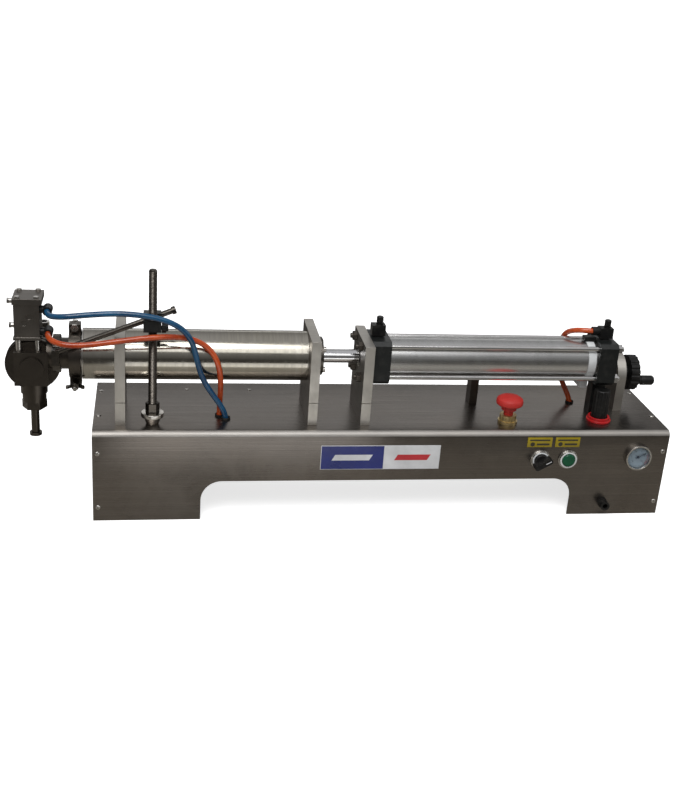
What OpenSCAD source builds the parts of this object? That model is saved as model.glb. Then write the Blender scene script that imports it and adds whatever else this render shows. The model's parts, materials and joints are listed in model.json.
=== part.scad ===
// Single-head pneumatic piston filler for liquids, bench-top, horizontal.
// Millimetres. +X towards the handwheel, +Y to the back, +Z up, floor at Z = 0.

/* [Base] */
// Length of the sheet-metal base
base_l = 850; // [800:5:900]
// Depth of the base
base_d = 190; // [180:1:220]
// Height of the base
base_h = 138; // [120:1:160]
// Sheet thickness
sheet = 2.5; // [2:0.5:3]
// Width of the left leg
leg_left = 151; // [120:1:170]
// Width of the right leg
leg_right = 144; // [120:1:170]
// Height of the gap under the base
arch_h = 61; // [40:1:80]
// Corner radius of that gap
arch_r = 30; // [15:1:40]

/* [Supports] */
// Thickness of the upright plates
plate_t = 14; // [12:1:16]
// Setback of the plates from the front of the base
plate_y = 23.5; // [20:0.5:30]
// Depth of the two plates that hold the liquid cylinder
big_d = 103; // [96:1:120]
// Height of those two plates
big_h = 127; // [120:1:140]
// Depth of the air cylinder's front plate
small_d = 96; // [90:1:110]
// Height of the air cylinder's front plate
small_h = 120; // [116:1:130]
// Height of the foot blocks
foot_h = 34; // [25:1:40]

/* [Cylinders] */
// Height of the cylinder axis above the base
axis_up = 88; // [84:1:92]
// Outside diameter of the liquid cylinder
tube_d = 72; // [68:1:76]
// Wall of the liquid cylinder
tube_w = 3; // [2:0.5:4]
// Working stroke
stroke = 240; // [100:5:250]
// Rod diameter
rod_d = 20; // [16:1:22]
// Width of the air cylinder's square caps
cap_w = 65; // [60:1:66]
// Bore of the air cylinder
air_bore = 50; // [45:1:50]

/* [Head and column] */
// Distance from the middle of the base to the filling head
head_x = 507; // [490:1:530]
// Diameter of the valve disc
disc_d = 76; // [64:1:80]
// Nozzle outside diameter
nozzle_d = 11.6; // [8:0.2:12]
// Height of the column above the base
col_h = 226; // [190:1:240]
// Column diameter
col_d = 12; // [10:1:12]
// Hose outside diameter
hose_d = 8; // [6:1:8]

/* [Handwheel] */
// Handwheel diameter
wheel_d = 55; // [45:1:60]
// Travel of the switch carriage
carriage_travel = 120; // [60:5:120]

/* [Hidden] */
$fn = 64;
left_end = head_x + disc_d / 2;
right_end = 427;
front_end = 22;
back_end = base_d + 1.6;
ox = (left_end - right_end) / 2;
oy = -(back_end - front_end) / 2;
ay = 75;
az = base_h + axis_up;
top = base_h;
bend = 9;
p1x = -394;
p2x = -122.5;
p3x = -45.5;
p4x = 362;
p3r = p3x + plate_t;
cap_l = 28;
bar_x0 = p3r + cap_l;
bar_x1 = 313;
cap_x1 = bar_x1 + cap_l;
tie = 23.5;
bar_r = air_bore / 2 + 3;
rod_r = rod_d / 2;
tube_r = tube_d / 2;
bore_r = tube_r - tube_w;
lsy = 113;
lsz = base_h + 51.5;
ls_r = 5;
car_x = 304;
reg_x = 326;
reg_y = 44;
est_x = 180;
est_y = 36;
sel_x = 226;
but_x = 269;
sw_z = 93.5;
gau_x = 379;
gau_z = 97;
inl_x = 334;
inl_z = 21;
col_x = -342.4;
col_y = 31;
arm_y = 42;
arm_z = 291.7;
arm_a = 21.7;
hx = -head_x;
disc_z = 212;
blk_z0 = 186;
blk_z1 = 235;
act_z0 = 252;
act_z1 = 311;
clamp_x = -449;

blue_route = [
    [-484, 55, 294], [-484, 49, 294], [-481.6, 36.8, 294.5], [-474.6, 26.4, 296.3],
    [-464.2, 19.4, 298.3], [-452, 17, 300], [-438, 17, 301.6], [-423, 17.2, 303],
    [-405, 17.4, 304.4], [-386.5, 17.5, 305], [-366, 17.4, 304], [-346, 17.2, 301.5],
    [-327, 17.2, 297], [-311, 17.4, 290], [-299, 17.8, 280.7], [-291, 19, 269.2],
    [-286, 22, 254.8], [-282.5, 26, 238.6], [-278.5, 30, 221.2], [-272.5, 33.3, 203.5],
    [-263, 36.5, 186.5], [-252.5, 40.2, 170.5], [-244, 43.8, 156.5], [-239.4, 46.1, 145.5],
    [-238, 47, 137], [-238, 47, 132]
];
orange_route = [
    [-484, 55, 262], [-484, 49, 262], [-481.6, 36.8, 261.6], [-474.6, 26.4, 260.6],
    [-464.2, 19.4, 259.4], [-452, 17, 258.8], [-438, 17, 259], [-422.5, 17, 260.4],
    [-405, 17, 263], [-386.5, 17, 265.8], [-366, 17.2, 268.8], [-346.5, 18, 271],
    [-326.5, 20.5, 271.6], [-307.7, 25, 270.2], [-291.5, 29.5, 266.2], [-277.5, 32.3, 260],
    [-265.5, 33.5, 251], [-257, 34, 239.5], [-251.5, 34, 225.5], [-248.3, 35.6, 209],
    [-247.2, 41, 192.5], [-247, 48.8, 176.5], [-247, 55.2, 161], [-247, 57.8, 147], [-247, 58, 132]
];
rear_route = [
    [309, 75, 270], [302, 75.5, 270], [293.5, 78.5, 269.5], [286, 85, 267.5], [280.5, 94.5, 263],
    [277.5, 105.3, 255.9], [277, 114, 244.5], [277.5, 121, 230.5], [279, 126, 215],
    [281.5, 128.5, 199], [285, 128, 183.5], [289.5, 125, 171], [295.8, 120, 158.5],
    [300.4, 115.4, 148.5], [302.7, 112.4, 141.5], [303, 112, 136.5], [303, 112, 132]
];

// Moves a piece from the base's own coordinates to the part's origin.
module org() {
    translate([ox, oy, 0]) children();
}

module cyl_x(x, y, z, r, l) {
    translate([x, y, z]) rotate([0, 90, 0]) cylinder(r = r, h = l);
}

module cyl_y(x, y, z, r, l) {
    translate([x, y, z]) rotate([-90, 0, 0]) cylinder(r = r, h = l);
}

module cyl_z(x, y, z, r, l) {
    translate([x, y, z]) cylinder(r = r, h = l);
}

module box(x0, y0, z0, x1, y1, z1) {
    translate([x0, y0, z0]) cube([x1 - x0, y1 - y0, z1 - z0]);
}

module hex_x(x, y, z, af, l) {
    translate([x, y, z]) rotate([0, 90, 0]) cylinder(r = af / 1.732, h = l, $fn = 6);
}

module hex_y(x, y, z, af, l) {
    translate([x, y, z]) rotate([-90, 0, 0]) cylinder(r = af / 1.732, h = l, $fn = 6);
}

module hex_z(x, y, z, af, l) {
    translate([x, y, z]) cylinder(r = af / 1.732, h = l, $fn = 6);
}

// Outline of the bent sheet, seen from the end, with its two bends.
function arc(cy, cz, r, a0, a1) = [for (i = [0:8]) let (a = a0 + (a1 - a0) * i / 8) [cy + r * cos(a), cz + r * sin(a)]];
function wrap_outline(e) = concat(
    [[e, e > 0 ? -1 : 0]],
    arc(bend, base_h - bend, bend - e, 180, 90),
    arc(base_d - bend, base_h - bend, bend - e, 90, 0),
    [[base_d - e, e > 0 ? -1 : 0]]
);

module base_shell() {
    org() color([0.62, 0.61, 0.59]) difference() {
        translate([-base_l / 2, 0, 0]) rotate([90, 0, 90]) linear_extrude(base_l) polygon(wrap_outline(0));
        translate([-base_l / 2 - 1, 0, 0]) rotate([90, 0, 90]) linear_extrude(base_l + 2) polygon(wrap_outline(sheet));
        box(-base_l / 2 + leg_left, -1, -1, base_l / 2 - leg_right, base_d + 1, arch_h - arch_r);
        box(-base_l / 2 + leg_left + arch_r, -1, -1, base_l / 2 - leg_right - arch_r, base_d + 1, arch_h);
        cyl_y(-base_l / 2 + leg_left + arch_r, -1, arch_h - arch_r, arch_r, base_d + 2);
        cyl_y(base_l / 2 - leg_right - arch_r, -1, arch_h - arch_r, arch_r, base_d + 2);
        cyl_y(sel_x, -1, sw_z, 11.2, 6);
        cyl_y(but_x, -1, sw_z, 11.2, 6);
        cyl_y(gau_x, -1, gau_z, 19.2, 6);
        cyl_y(inl_x, -1, inl_z, 6.2, 6);
        cyl_z(est_x, est_y, top - 5, 11.2, 6);
        cyl_z(reg_x, reg_y, top - 5, 9.2, 6);
        cyl_z(-238, 47, top - 5, 6.2, 6);
        cyl_z(-247, 58, top - 5, 6.2, 6);
        cyl_z(303, 112, top - 5, 6.2, 6);
        for (p = bolt_points) cyl_z(p[0], p[1], top - 5, 3.3, 6);
    }
}

end_y0 = sheet + 0.1;
end_y1 = base_d - sheet - 0.1;
end_z1 = base_h - sheet - 0.1;
end_r = bend - sheet - 0.1;

module end_pan(s) {
    x0 = s > 0 ? base_l / 2 - sheet : -base_l / 2;
    xi = s > 0 ? base_l / 2 - 18 : -base_l / 2 + sheet;
    translate([x0, 0, 0]) rotate([90, 0, 90]) linear_extrude(sheet) polygon(concat(
        [[end_y0, 0]],
        arc(bend, base_h - bend, end_r, 180, 90),
        arc(base_d - bend, base_h - bend, end_r, 90, 0),
        [[end_y1, 0]]
    ));
    box(xi, end_y0, 0, xi + 15.5, end_y0 + sheet, end_z1 - end_r);
    box(xi, end_y1 - sheet, 0, xi + 15.5, end_y1, end_z1 - end_r);
    box(xi, end_y0 + end_r, end_z1 - sheet, xi + 15.5, end_y1 - end_r, end_z1);
    box(xi, end_y0 + sheet, 0, xi + 15.5, end_y1 - sheet, sheet);
}

module end_panels() {
    org() color([0.58, 0.57, 0.55]) {
        end_pan(-1);
        end_pan(1);
    }
}

module panel_screws() {
    org() color([0.72, 0.72, 0.7]) {
        for (x = [-418, 418]) {
            for (z = [21, 105]) {
                cyl_y(x, -1.6, z, 3.6, 1.6);
                cyl_y(x, base_d, z, 3.6, 1.6);
            }
            for (y = [58, 150]) cyl_z(x, y, top, 3.6, 1.6);
        }
        cyl_z(-291, 157, top, 3.2, 1.6);
        cyl_z(-196, 157, top, 3.2, 1.6);
    }
}

bolt_points = concat(
    [for (x = [p1x, p2x]) for (y = [plate_y + 16, plate_y + big_d - 16]) [x + plate_t / 2, y]],
    [for (y = [plate_y + 14, plate_y + small_d - 14]) [p3x + plate_t / 2, y]],
    [for (y = [lsy - 22, lsy + 22]) [p4x + plate_t / 2, y]]
);

module base_bolts() {
    org() color([0.6, 0.6, 0.6]) {
        for (p = bolt_points) {
            hex_z(p[0], p[1], top - sheet - 4, 10, 4);
            cyl_z(p[0], p[1], top - sheet - 1, 3, 22);
        }
        for (a = [0:90:270]) translate([p2x + plate_t, ay, az]) rotate([a + 45, 0, 0]) {
            translate([8, 0, 22]) rotate([0, 90, 0]) cylinder(r = 4, h = 4);
        }
    }
}

module foot_block(x, y0, d) {
    difference() {
        box(x, y0, top, x + plate_t, y0 + d, top + foot_h - 0.4);
        for (p = bolt_points) cyl_z(p[0], p[1], top - 1, 3.3, 21);
    }
}

module support_a() {
    org() color([0.66, 0.65, 0.62]) {
        foot_block(p1x, plate_y, big_d);
        difference() {
            box(p1x, plate_y, top + foot_h - 0.4, p1x + plate_t, plate_y + big_d, top + big_h);
            cyl_x(p1x - 1, ay, az, tube_r + 0.05, plate_t + 2);
            box(p1x - 1, plate_y - 1, top + foot_h - 1, p1x + plate_t + 1, plate_y + 2, top + foot_h + 0.8);
        }
    }
}

module support_b() {
    org() color([0.66, 0.65, 0.62]) {
        foot_block(p2x, plate_y, big_d);
        difference() {
            box(p2x, plate_y, top + foot_h - 0.4, p2x + plate_t, plate_y + big_d, top + big_h);
            cyl_x(p2x - 1, ay, az, 15.1, plate_t + 2);
            box(p2x - 1, plate_y - 1, top + foot_h - 1, p2x + plate_t + 1, plate_y + 2, top + foot_h + 0.8);
        }
    }
}

module support_c() {
    org() color([0.66, 0.65, 0.62]) {
        foot_block(p3x, plate_y, small_d);
        difference() {
            box(p3x, plate_y, top + foot_h - 0.4, p3x + plate_t, plate_y + small_d, top + small_h);
            cyl_x(p3x - 1, ay, az, 15.5, plate_t + 2);
            for (sy = [-1, 1]) for (sz = [-1, 1]) cyl_x(p3x - 1, ay + sy * tie, az + sz * tie, 4, plate_t + 2);
            box(p3x - 1, plate_y - 1, top + foot_h - 1, p3x + plate_t + 1, plate_y + 2, top + foot_h + 0.8);
        }
    }
}

// Round-topped pedestal for the handwheel and a small one for the screw's far end.
module support_d() {
    org() color([0.66, 0.65, 0.62]) {
        difference() {
            union() {
                cyl_x(p4x, lsy, lsz, 34, plate_t);
                box(p4x, lsy - 34, top, p4x + plate_t, lsy + 34, lsz);
            }
            cyl_x(p4x - 1, lsy, lsz, ls_r + 0.05, plate_t + 2);
            for (p = bolt_points) cyl_z(p[0], p[1], top - 1, 3.3, 21);
        }
        difference() {
            box(138, lsy - 10, top, 150, lsy + 12, lsz + 11);
            cyl_x(137, lsy, lsz, ls_r + 0.05, 14);
        }
    }
}

module rear_foot() {
    org() color([0.66, 0.65, 0.62]) {
        box(bar_x1 + 4, ay - 10, top, cap_x1 - 3, ay + 10, az - cap_w / 2);
    }
}

module liquid_tube() {
    org() color([0.8, 0.8, 0.78]) difference() {
        cyl_x(-437, ay, az, tube_r, p2x + 437);
        cyl_x(-438, ay, az, bore_r, p2x + 439);
    }
}

// End plug of the liquid cylinder with its clamp ferrule.
module tube_outlet() {
    org() color([0.74, 0.74, 0.72]) difference() {
        union() {
            cyl_x(-437, ay, az, bore_r - 0.1, 8);
            cyl_x(-439, ay, az, tube_r, 2);
            cyl_x(-446, ay, az, 25, 8);
            cyl_x(clamp_x + 1, ay, az, 32, 3);
        }
        cyl_x(-460, ay, az, 19, 40);
    }
}

module clamp_jaws() {
    org() color([0.55, 0.55, 0.54]) {
        for (s = [-1, 1]) difference() {
            union() {
                cyl_x(clamp_x - 8, ay, az, 34, 16);
                box(clamp_x - 8, ay - 9, az - 46, clamp_x + 8, ay + 9, az - 31);
                box(clamp_x - 8, ay - 8, az + 31, clamp_x + 8, ay + 8, az + 45);
            }
            cyl_x(clamp_x - 9, ay, az, 26, 18);
            cyl_x(clamp_x - 4.2, ay, az, 32.3, 8.4);
            box(clamp_x - 9, s > 0 ? ay - 60 : ay - 0.6, az - 60, clamp_x + 9, s > 0 ? ay + 0.6 : ay + 60, az + 60);
            cyl_y(clamp_x, ay - 20, az + 41, 3.1, 40);
            cyl_y(clamp_x, ay - 20, az - 41, 3.1, 40);
        }
    }
}

module clamp_pins() {
    org() color([0.6, 0.6, 0.6]) {
        cyl_y(clamp_x, ay - 12, az + 41, 3, 24);
        hex_y(clamp_x, ay - 12.2, az + 41, 10, 4);
        hex_y(clamp_x, ay + 8.1, az + 41, 10, 4);
        cyl_y(clamp_x, ay - 34, az - 41, 3, 46);
        hex_y(clamp_x, ay + 9.1, az - 41, 10, 4);
    }
}

module wing_nut() {
    org() color([0.6, 0.6, 0.6]) difference() {
        union() {
            cyl_y(clamp_x, ay - 26.2, az - 41, 6.5, 17);
            box(clamp_x - 13, ay - 29, az - 43, clamp_x - 5, ay - 21, az - 39);
            box(clamp_x + 5, ay - 29, az - 43, clamp_x + 13, ay - 21, az - 39);
        }
        cyl_y(clamp_x, ay - 36, az - 41, 3.05, 34);
    }
}

module gasket() {
    org() color([0.9, 0.9, 0.88]) difference() {
        cyl_x(clamp_x - 1, ay, az, 31, 2);
        cyl_x(clamp_x - 2, ay, az, 19, 4);
    }
}

module piston() {
    org() color([0.85, 0.85, 0.82]) difference() {
        cyl_x(-423, ay, az, bore_r - 0.05, 30);
        cyl_x(-400, ay, az, rod_r + 0.01, 8);
        for (x = [-417, -403]) difference() {
            cyl_x(x, ay, az, bore_r + 1, 4);
            cyl_x(x - 1, ay, az, bore_r - 3, 6);
        }
    }
}

module piston_rod() {
    org() color([0.85, 0.86, 0.88]) {
        cyl_x(-400, ay, az, rod_r, 400);
        cyl_x(0, ay, az, 8, 30);
    }
}

// Flanged bush and seal carrier where the rod leaves the liquid cylinder.
module rod_gland() {
    org() color([0.45, 0.45, 0.46]) difference() {
        union() {
            cyl_x(p2x + plate_t, ay, az, 28, 8);
            cyl_x(p2x, ay, az, 15, plate_t + 1);
        }
        cyl_x(p2x - 1, ay, az, rod_r + 0.05, 40);
    }
}

module air_barrel() {
    org() color([0.8, 0.8, 0.8]) difference() {
        cyl_x(bar_x0, ay, az, bar_r, bar_x1 - bar_x0);
        cyl_x(bar_x0 - 1, ay, az, air_bore / 2, bar_x1 - bar_x0 + 2);
    }
}

module air_cap(x) {
    h = cap_w / 2;
    difference() {
        box(x, ay - h, az - h, x + cap_l, ay + h, az + h);
        for (sy = [-1, 1]) for (sz = [-1, 1]) {
            cyl_x(x - 1, ay + sy * tie, az + sz * tie, 4, cap_l + 2);
            translate([x - 1, ay + sy * h, az + sz * h]) rotate([45, 0, 0]) {
                translate([0, -4, -4]) cube([cap_l + 2, 8, 8]);
            }
        }
        children();
    }
}

module front_cap() {
    org() color([0.09, 0.09, 0.1]) air_cap(p3r) {
        cyl_x(p3r - 1, ay, az, rod_r + 0.05, cap_l + 2);
        cyl_z(-20, ay, az + 12, 4, 30);
    }
}

module rear_cap() {
    org() color([0.09, 0.09, 0.1]) air_cap(bar_x1) {
        cyl_x(bar_x1 - 1, ay, az, 12, 16);
        cyl_z(328, ay, az + 8, 4, 30);
    }
}

module tie_rods() {
    org() color([0.75, 0.75, 0.74]) {
        for (sy = [-1, 1]) for (sz = [-1, 1]) {
            cyl_x(p3x - 10, ay + sy * tie, az + sz * tie, 3.7, cap_x1 + 20 - p3x);
            hex_x(p3x - 6.5, ay + sy * tie, az + sz * tie, 13, 6.5);
            hex_x(cap_x1, ay + sy * tie, az + sz * tie, 13, 6.5);
        }
    }
}

module air_piston() {
    org() color([0.3, 0.3, 0.32]) difference() {
        cyl_x(0, ay, az, air_bore / 2 - 0.05, 24);
        cyl_x(-1, ay, az, 8.01, 26);
        difference() {
            cyl_x(9, ay, az, air_bore / 2 + 1, 5);
            cyl_x(8, ay, az, air_bore / 2 - 2.5, 7);
        }
    }
}

// Push-in elbows, flow controls and the air inlet.
module flow_control(x, s) {
    difference() {
        union() {
            box(x - 10, ay - 8, az + 34.5, x + 10, ay + 8, az + 50);
            cyl_z(x, ay, az + 12.5, 3.9, 24);
            cyl_z(x, ay, az + 32.6, 7, 3);
            cyl_z(x + 2, ay, az + 49, 5.2, 3);
            if (s != 0) cyl_x(x - 21, ay, 270, 6.6, 12);
        }
        cyl_z(x + 2, ay, az + 44, 3.05, 12);
        if (s != 0) cyl_x(x - 22, ay, 270, 4.3, 4);
    }
}

module air_fittings() {
    org() color([0.07, 0.07, 0.08]) {
        flow_control(-20, 0);
        flow_control(328, 1);
        for (z = [294, 262]) {
            cyl_x(hx + 12, 64, z, 5.2, 11);
            difference() {
                cyl_y(hx + 23, 53, z, 6.5, 18);
                cyl_y(hx + 23, 52, z, 4.3, 3);
            }
        }
        difference() {
            union() {
                hex_y(inl_x, -6, inl_z, 14, 6);
                cyl_y(inl_x, -16, inl_z, 7, 11);
                cyl_y(inl_x, -1, inl_z, 6, 14);
                hex_y(inl_x, sheet, inl_z, 16, 5);
            }
            cyl_y(inl_x, -17, inl_z, 4, 28);
        }
    }
}

module flow_knob(x) {
    cyl_z(x + 2, ay, az + 46, 3, 8);
    difference() {
        cyl_z(x + 2, ay, az + 53, 5, 9);
        for (a = [0:30:330]) translate([x + 2, ay, az + 52]) rotate([0, 0, a]) translate([5.4, 0, 0]) cylinder(r = 0.9, h = 11, $fn = 12);
    }
}

module front_flow_knob() {
    org() color([0.06, 0.06, 0.07]) flow_knob(-20);
}

module rear_flow_knob() {
    org() color([0.06, 0.06, 0.07]) flow_knob(328);
}

// Band round the barrel on a nut that rides the lead screw.
module switch_carriage() {
    org() color([0.88, 0.89, 0.9]) difference() {
        union() {
            cyl_x(car_x - 6, ay, az, bar_r + 1.3, 12);
            box(car_x - 6, ay - 6, lsz - 9, car_x + 6, ay + 6, az - bar_r - 0.5);
            box(car_x - 6, ay - 6, lsz - 9, car_x + 6, lsy - 4, lsz - 4);
            box(car_x - 10, lsy - 9, lsz - 9, car_x + 8, lsy + 9, lsz + 7);
        }
        cyl_x(car_x - 12, ay, az, bar_r + 0.3, 24);
        cyl_x(car_x - 12, lsy, lsz, ls_r + 0.05, 24);
    }
}

module reed_switch() {
    org() color([0.07, 0.07, 0.08]) difference() {
        box(car_x - 9, ay - 6, az + bar_r + 0.9, car_x + 9, ay + 6, az + bar_r + 8);
        cyl_x(car_x - 12, ay, az, bar_r + 1.35, 24);
    }
}

module lead_screw() {
    org() color([0.66, 0.66, 0.66]) {
        cyl_x(130, lsy, lsz, ls_r, 272);
        cyl_x(151, lsy, lsz, 8, 5);
        cyl_x(p4x - 6, lsy, lsz, 9, 5);
    }
}

module handwheel() {
    org() color([0.06, 0.06, 0.07]) difference() {
        union() {
            cyl_x(388, lsy, lsz, wheel_d / 2, 14);
            cyl_x(p4x + plate_t + 1, lsy, lsz, 11, 14);
            cyl_x(400, lsy, lsz, 12, 4.5);
        }
        cyl_x(360, lsy, lsz, ls_r + 0.01, 42);
        difference() {
            cyl_x(398, lsy, lsz, wheel_d / 2 - 4.5, 6);
            cyl_x(397, lsy, lsz, 12, 8);
            cyl_x(397, lsy - 19, lsz - 6, 6.5, 8);
        }
        cyl_x(397, lsy - 19, lsz - 6, 3.05, 8);
        for (a = [0:20:340]) translate([386, lsy, lsz]) rotate([a, 0, 0]) translate([0, 0, wheel_d / 2 + 1.6]) rotate([0, 90, 0]) cylinder(r = 3, h = 18, $fn = 24);
    }
}

module crank_knob() {
    org() color([0.06, 0.06, 0.07]) {
        cyl_x(398.2, lsy - 19, lsz - 6, 3, 8);
        cyl_x(403, lsy - 19, lsz - 6, 6, 4);
        cyl_x(406, lsy - 19, lsz - 6, 7.6, right_end - 408);
        cyl_x(right_end - 2.2, lsy - 19, lsz - 6, 6.2, 2.2);
    }
}

module estop_collar() {
    org() color([0.72, 0.62, 0.4]) {
        difference() {
            union() {
                cyl_z(est_x, est_y, top, 14.5, 4);
                cyl_z(est_x, est_y, top + 4, 12.5, 9);
                cyl_z(est_x, est_y, top - 10, 11, 11);
            }
            cyl_z(est_x, est_y, top - 11, 7.05, 26);
            for (a = [0:30:330]) translate([est_x, est_y, top + 5]) rotate([0, 0, a]) translate([13.2, 0, 0]) cylinder(r = 1.4, h = 9, $fn = 12);
        }
        difference() {
            cyl_z(est_x, est_y, top - sheet - 6, 15, 6);
            cyl_z(est_x, est_y, top - sheet - 7, 11.01, 8);
        }
    }
}

module estop_head() {
    org() color([0.78, 0.06, 0.05]) translate([est_x, est_y, 0]) {
        translate([0, 0, top - 10]) cylinder(r = 7, h = 29);
        translate([0, 0, top + 19.5]) cylinder(r = 10.5, h = 9);
        translate([0, 0, top + 27]) rotate_extrude() polygon([
            [0, 0], [18, 0], [20, 3], [20.2, 7], [19, 11], [15, 14], [8, 16], [0, 16.6]
        ]);
    }
}

module switch_bezel(x) {
    difference() {
        union() {
            cyl_y(x, -5, sw_z, 13.5, 3);
            cyl_y(x, -2, sw_z, 15, 2);
            cyl_y(x, -0.5, sw_z, 11, 20);
            cyl_y(x, sheet, sw_z, 15, 5);
        }
        cyl_y(x, -8, sw_z, 10.1, 18);
        cyl_y(x, 5, sw_z, 8, 20);
    }
}

module switch_bezels() {
    org() color([0.75, 0.75, 0.76]) {
        switch_bezel(sel_x);
        switch_bezel(but_x);
    }
}

module selector_knob() {
    org() color([0.05, 0.05, 0.06]) {
        cyl_y(sel_x, -9, sw_z, 10, 15);
        translate([sel_x, 0, sw_z]) rotate([0, -30, 0]) {
            translate([-14, -22, -4]) cube([28, 14, 8]);
            translate([-14, -22, 0]) rotate([-90, 0, 0]) cylinder(r = 4, h = 14);
            translate([14, -22, 0]) rotate([-90, 0, 0]) cylinder(r = 4, h = 14);
        }
    }
}

module start_button() {
    org() color([0.05, 0.5, 0.2]) {
        cyl_y(but_x, -6.5, sw_z, 10, 13);
        cyl_y(but_x, -7.5, sw_z, 8.5, 2);
    }
}

// Contact blocks, regulator body and air valve inside the base.
module inner_blocks() {
    org() color([0.12, 0.12, 0.13]) {
        box(sel_x - 15, 19.5, sw_z - 15, sel_x + 15, 55, sw_z + 15);
        box(but_x - 15, 19.5, sw_z - 15, but_x + 15, 55, sw_z + 15);
        difference() {
            box(est_x - 15, est_y - 15, 92, est_x + 15, est_y + 15, top - 10);
            cyl_z(est_x, est_y, top - 18, 7.3, 9);
        }
        difference() {
            union() {
                box(reg_x - 18, reg_y - 18, 70, reg_x + 18, reg_y + 18, top - sheet);
                cyl_z(reg_x, reg_y, top - sheet, 9, sheet + 2);
            }
            cyl_z(reg_x, reg_y, top - 12, 5.05, 20);
        }
        box(-25, 90, 95, 95, 140, top - sheet);
        for (x = [-5, 35, 75]) cyl_z(x, 115, 87, 7, 9);
    }
}

module label_plates() {
    org() color([0.93, 0.78, 0.1]) {
        for (x = [222, 265]) box(x - 19, -1, 113.5, x + 19, 0, 129);
    }
}

module gauge_case() {
    org() color([0.7, 0.7, 0.71]) {
        difference() {
            union() {
                cyl_y(gau_x, -7, gau_z, 20, 7);
                cyl_y(gau_x, -1, gau_z, 19, 27);
            }
            cyl_y(gau_x, -8, gau_z, 17.5, 8);
        }
        cyl_y(gau_x, 25.9, gau_z, 6, 10);
    }
}

module gauge_dial() {
    org() color([0.8, 0.88, 0.92]) difference() {
        cyl_y(gau_x, -1, gau_z, 17.3, 1);
        cyl_y(gau_x, -2, gau_z, 1.25, 3);
    }
}

module gauge_needle() {
    org() color([0.08, 0.08, 0.08]) {
        cyl_y(gau_x, -2.8, gau_z, 1.2, 2.7);
        translate([gau_x, 0, gau_z]) rotate([0, -28, 0]) translate([-4, -2.8, -0.6]) cube([17, 0.8, 1.2]);
        cyl_y(gau_x, -3, gau_z, 2.2, 1);
    }
}

module gauge_glass() {
    org() color([0.85, 0.9, 0.92, 0.35]) cyl_y(gau_x, -6.2, gau_z, 17.4, 1.6);
}

module regulator_ring() {
    org() color([0.7, 0.05, 0.05]) difference() {
        union() {
            cyl_z(reg_x, reg_y, top, 18.5, 3);
            cyl_z(reg_x, reg_y, top + 3, 16.5, 4);
        }
        cyl_z(reg_x, reg_y, top - 1, 9.1, 10);
        cyl_z(reg_x, reg_y, top + 2.5, 13, 10);
    }
}

module regulator_knob() {
    org() color([0.05, 0.05, 0.06]) {
        cyl_z(reg_x, reg_y, top - 8, 5, 16);
        difference() {
            union() {
                cyl_z(reg_x, reg_y, top + 3.5, 12, 46);
                cyl_z(reg_x, reg_y, top + 49, 10.5, 1.5);
            }
            for (a = [0:18:342]) translate([reg_x, reg_y, top + 12]) rotate([0, 0, a]) translate([12.6, 0, 0]) cylinder(r = 1.2, h = 34, $fn = 12);
        }
    }
}

module grommet(x, y) {
    difference() {
        union() {
            cyl_z(x, y, top, 6.3, 3);
            cyl_z(x, y, top - sheet - 2, 6, sheet + 3);
        }
        cyl_z(x, y, top - 9, hose_d / 2 + 0.1, 20);
        translate([x, y, top - 1]) cylinder(r1 = hose_d / 2 + 0.1, r2 = hose_d / 2 + 1.5, h = 4.2);
    }
}

module grommets() {
    org() color([0.05, 0.05, 0.05]) {
        grommet(-238, 47);
        grommet(-247, 58);
        grommet(303, 112);
    }
}

module nameplate() {
    org() color([0.2, 0.35, 0.6]) box(-104, -1, 79, 72, 0, 117);
}

module column() {
    org() color([0.5, 0.5, 0.5]) {
        translate([col_x, col_y, top]) cylinder(r1 = 8.5, r2 = 13, h = 12);
        cyl_z(col_x, col_y, top + 11, 16, 7);
        hex_z(col_x, col_y, top + 17, 17, 15);
        cyl_z(col_x, col_y, top + 20, col_d / 2, 145);
        cyl_z(col_x, col_y, top + 164, col_d / 2 - 0.2, col_h - 166);
        cyl_z(col_x, col_y, top + col_h - 3, col_d / 2 - 1, 3);
    }
}

// Block that holds the arm across the column.
module cross_clamp() {
    org() color([0.06, 0.06, 0.07]) difference() {
        union() {
            box(col_x - 12.6, 22, 277, col_x + 11.4, 40.5, 293);
            box(col_x - 12.6, 35, 282, col_x + 11.4, 50, 300);
        }
        cyl_z(col_x, col_y, 260, col_d / 2 + 0.02, 50);
        translate([col_x, arm_y, arm_z]) rotate([0, -arm_a, 0]) translate([-40, 0, 0]) {
            rotate([0, 90, 0]) cylinder(r = 4.03, h = 80);
        }
        cyl_x(col_x + 6, col_y, 281, 3.05, 10);
    }
}

module clamp_screw() {
    org() color([0.3, 0.3, 0.32]) {
        cyl_x(col_x + 6.2, col_y, 281, 3, 8);
        cyl_x(col_x + 12, col_y, 281, 7, 6);
        cyl_x(col_x + 18, col_y, 281, 5, 3);
    }
}

module arm() {
    org() color([0.42, 0.42, 0.42]) {
        translate([col_x, arm_y, arm_z]) rotate([0, -arm_a, 0]) {
            translate([-143, 0, 0]) rotate([0, 90, 0]) cylinder(r = 4, h = 172);
            translate([28, 0, 0]) rotate([0, 90, 0]) cylinder(r = 5.5, h = 5);
        }
        difference() {
            union() {
                cyl_x(-479, ay, az, 27, 10);
                box(-479, 38, az - 5, -469, 60, az + 17);
            }
            cyl_x(-482, ay, az, 22.02, 20);
            cyl_y(hx, 61.5, disc_z, disc_d / 2 + 0.4, 27);
        }
    }
}

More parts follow.
